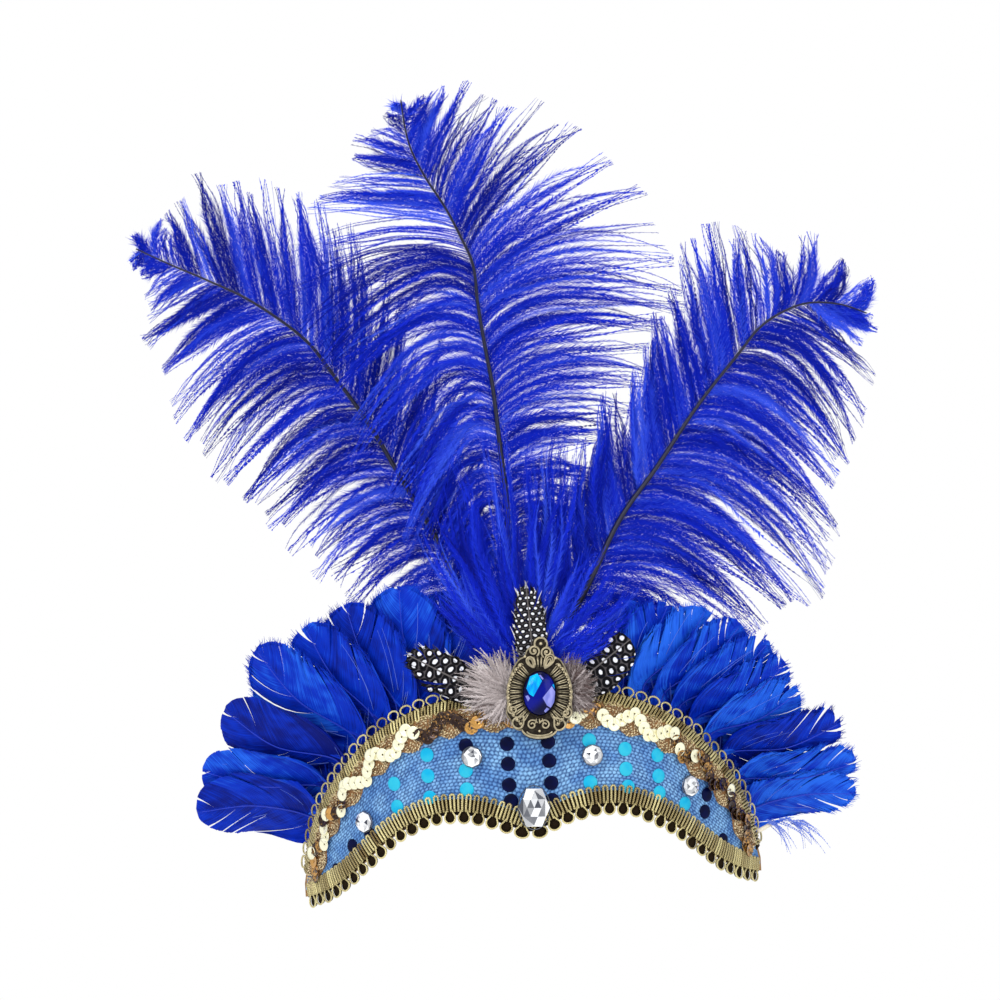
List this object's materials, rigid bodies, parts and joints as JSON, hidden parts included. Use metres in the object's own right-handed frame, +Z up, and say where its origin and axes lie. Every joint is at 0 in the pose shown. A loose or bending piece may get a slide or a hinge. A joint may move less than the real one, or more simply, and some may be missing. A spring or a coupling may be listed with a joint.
{
  "type": "feather headdress",
  "caption": "Costume headdress: a curved cloth forehead band with gold trims, cut stones and a brooch, carrying a fan of goose feathers and tall ostrich plumes.",
  "frame": {"origin": "inner face of the band at the middle of the forehead", "axes": "+Z up along the plumes, -Y towards the front of the wearer, +X to the right in a front view"},
  "size_m": [0.3, 0.0811, 0.3235],
  "materials": {
    "cloth": "woven blue cloth with foil dots",
    "felt": "matte felt",
    "gold_braid": "metallised yarn, satin",
    "sequin_braid": "metallised film on tan-gold braid",
    "crystal": "clear, cut, foiled back",
    "sapphire": "deep blue, cut, foiled back",
    "bronze": "antique, darkened in the recesses",
    "guinea_feather": "black feather with white dots",
    "down": "soft taupe and white down",
    "goose_feather": "dyed, satin sheen",
    "ostrich_feather": "dyed, soft and fluffy"
  },
  "bodies": {
    "root": {"band_panel": "cloth", "felt_backing": "felt", "lower_braid": "gold_braid", "upper_braid": "gold_braid", "sequin_braid": "sequin_braid", "stone_left_outer": "crystal", "stone_left_inner": "crystal", "stone_right_inner": "crystal", "stone_right_outer": "crystal", "drop_stone": "crystal", "brooch_frame": "bronze", "brooch_stone": "sapphire", "guinea_left": "guinea_feather", "guinea_centre": "guinea_feather", "guinea_right": "guinea_feather", "down_left": "down", "down_right": "down", "goose_left_1": "goose_feather", "goose_left_2": "goose_feather", "goose_left_3": "goose_feather", "goose_left_4": "goose_feather", "goose_left_5": "goose_feather", "goose_left_6": "goose_feather", "goose_left_7": "goose_feather", "goose_left_8": "goose_feather", "goose_right_1": "goose_feather", "goose_right_2": "goose_feather", "goose_right_3": "goose_feather", "goose_right_4": "goose_feather", "goose_right_5": "goose_feather", "goose_right_6": "goose_feather", "goose_right_7": "goose_feather", "goose_right_8": "goose_feather", "goose_right_9": "goose_feather", "goose_right_10": "goose_feather", "ostrich_left": "ostrich_feather", "ostrich_centre": "ostrich_feather", "ostrich_right": "ostrich_feather", "front_tuft": "ostrich_feather"}
  },
  "joints": []
}
